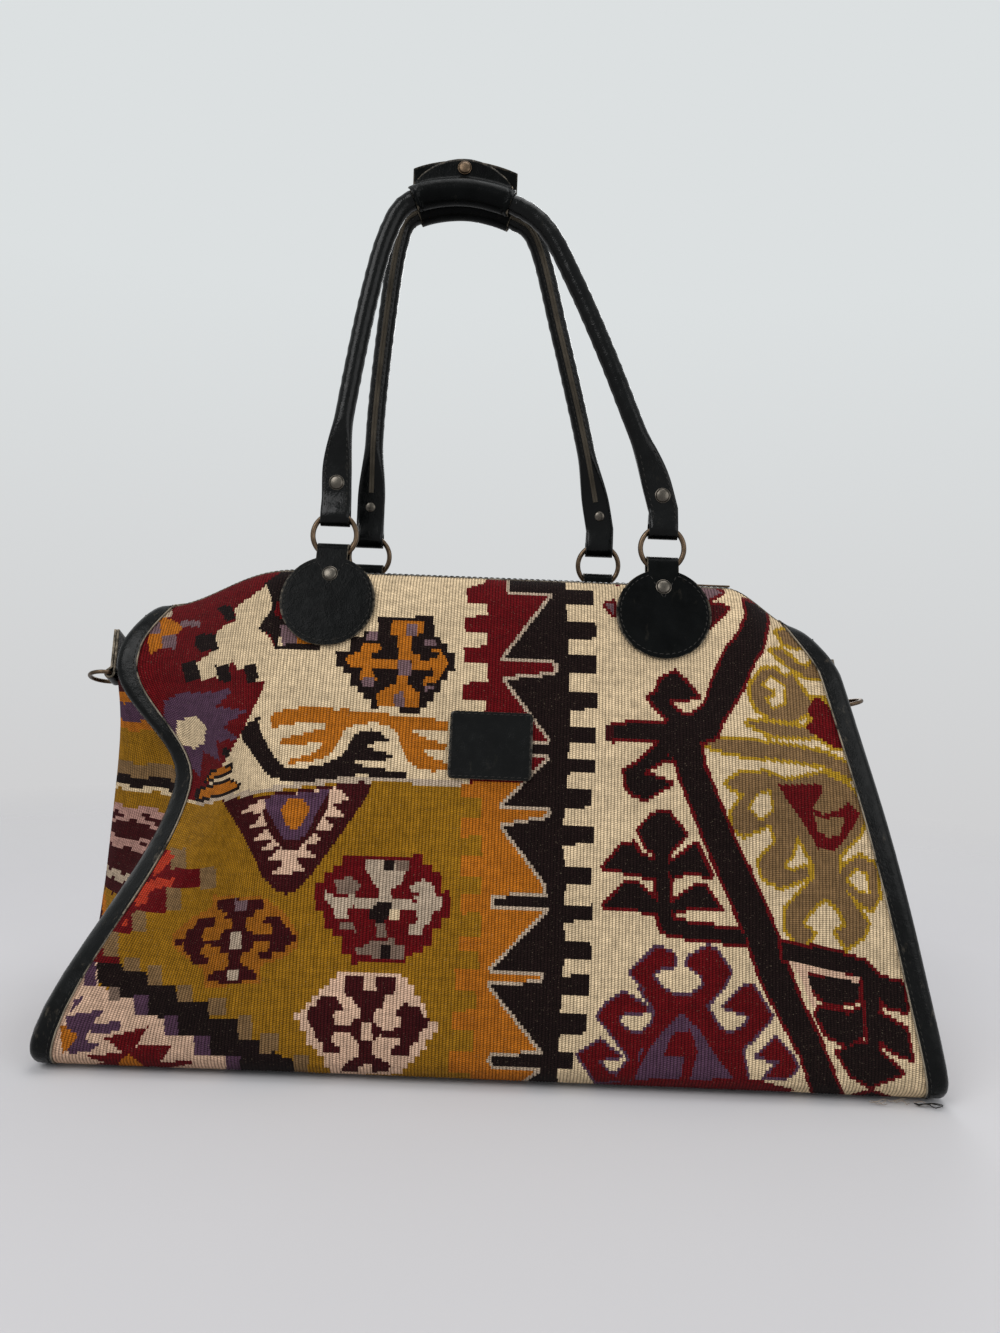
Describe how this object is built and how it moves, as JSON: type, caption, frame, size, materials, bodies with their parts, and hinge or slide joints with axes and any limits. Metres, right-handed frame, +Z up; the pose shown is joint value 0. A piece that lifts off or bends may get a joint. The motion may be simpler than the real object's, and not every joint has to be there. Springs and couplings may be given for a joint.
{
  "type": "kilim duffle bag",
  "caption": "Soft duffle bag of woven kilim with black leather bindings, rolled leather handles on metal rings, a snapped handle keeper and a zip along the top.",
  "frame": {"origin": "middle of the flat base, on the surface the bag stands on; the slumped body and its strap rings reach 10 mm further to -X than to +X", "axes": "+Z up, +X along the length to the right as seen from the front, front face towards -Y"},
  "size_m": [0.5956, 0.2104, 0.6335],
  "materials": {
    "kilim": "flat-woven wool in cream, mustard, maroon, dark brown and lilac",
    "end_kilim": "flat-woven wool, ribbed",
    "leather": "black, satin, with scuffed raw edges",
    "zip_tape": "black woven tape",
    "antique_brass": "antique, dulled",
    "nickel": "aged plate, warm grey"
  },
  "bodies": {
    "bag": {"kilim_body": "kilim", "left_gusset": "end_kilim", "right_gusset": "end_kilim", "left_binding": "leather", "right_binding": "leather", "zip_facing_front": "leather", "zip_facing_back": "leather", "label_patch": "leather", "dring_tab_left": "leather", "dring_tab_right": "leather", "chape_front_left": "leather", "chape_front_right": "leather", "chape_back_left": "leather", "chape_back_right": "leather", "zip_tape_front": "zip_tape", "zip_tape_back": "zip_tape", "zip_teeth_front": "antique_brass", "zip_teeth_back": "antique_brass", "chape_rivet_front_left": "nickel", "chape_rivet_front_right": "nickel", "chape_rivet_back_left": "nickel", "chape_rivet_back_right": "nickel", "dring_rivet_left": "nickel", "dring_rivet_right": "nickel"},
    "ring_front_left": {"ring_front_left": "antique_brass"},
    "ring_front_right": {"ring_front_right": "antique_brass"},
    "ring_back_left": {"ring_back_left": "antique_brass"},
    "ring_back_right": {"ring_back_right": "antique_brass"},
    "front_handle": {"front_handle": "leather", "front_handle_rivet_left": "nickel", "front_handle_rivet_right": "nickel", "front_keeper": "leather", "snap_cap": "nickel"},
    "back_handle": {"back_handle": "leather", "back_handle_rivet_left": "nickel", "back_handle_rivet_right": "nickel", "back_keeper": "leather", "snap_stud": "nickel"},
    "zip_slider": {"zip_slider": "antique_brass"},
    "zip_pull": {"zip_pull": "antique_brass"},
    "left_strap_ring": {"dring_left": "antique_brass"},
    "right_strap_ring": {"dring_right": "antique_brass"}
  },
  "joints": [
    {"name": "ring_front_left_swing", "type": "hinge", "parent": "bag", "child": "ring_front_left", "pos_m": [-0.1236, -0.02763, 0.33981], "axis": [1, 0, 0], "range_deg": [0, 85]},
    {"name": "ring_front_right_swing", "type": "hinge", "parent": "bag", "child": "ring_front_right", "pos_m": [0.1064, -0.02763, 0.33981], "axis": [1, 0, 0], "range_deg": [0, 85]},
    {"name": "front_handle_fold", "type": "hinge", "parent": "ring_front_left", "child": "front_handle", "pos_m": [-0.1236, -0.02607, 0.3652], "axis": [1, 0, 0], "range_deg": [0, 80]},
    {"name": "ring_back_left_swing", "type": "hinge", "parent": "bag", "child": "ring_back_left", "pos_m": [-0.1066, 0.03092, 0.332], "axis": [-1, 0, 0], "range_deg": [0, 85]},
    {"name": "ring_back_right_swing", "type": "hinge", "parent": "bag", "child": "ring_back_right", "pos_m": [0.0674, 0.03092, 0.332], "axis": [-1, 0, 0], "range_deg": [0, 85]},
    {"name": "back_handle_fold", "type": "hinge", "parent": "ring_back_left", "child": "back_handle", "pos_m": [-0.1066, 0.02912, 0.35739], "axis": [-1, 0, 0], "range_deg": [0, 80]},
    {"name": "zip_slide", "type": "slide", "parent": "bag", "child": "zip_slider", "axis": [-1, 0, 0], "range_m": [0, 0.256]},
    {"name": "zip_pull_lift", "type": "hinge", "parent": "zip_slider", "child": "zip_pull", "pos_m": [0.128, 0, 0.3297], "axis": [0, -1, 0], "range_deg": [0, 165]},
    {"name": "left_strap_ring_swing", "type": "hinge", "parent": "bag", "child": "left_strap_ring", "pos_m": [-0.28982, 0.01025, 0.24591], "axis": [-0.1036, 0.9473, -0.303], "range_deg": [-75, 75]},
    {"name": "right_strap_ring_swing", "type": "hinge", "parent": "bag", "child": "right_strap_ring", "pos_m": [0.2439, 0, 0.24695], "axis": [0, -1, 0], "range_deg": [-75, 75]}
  ],
  "couplings": [
    {"joint": "ring_front_right_swing", "follows": "ring_front_left_swing", "ratio": 1},
    {"joint": "ring_back_right_swing", "follows": "ring_back_left_swing", "ratio": 1}
  ]
}
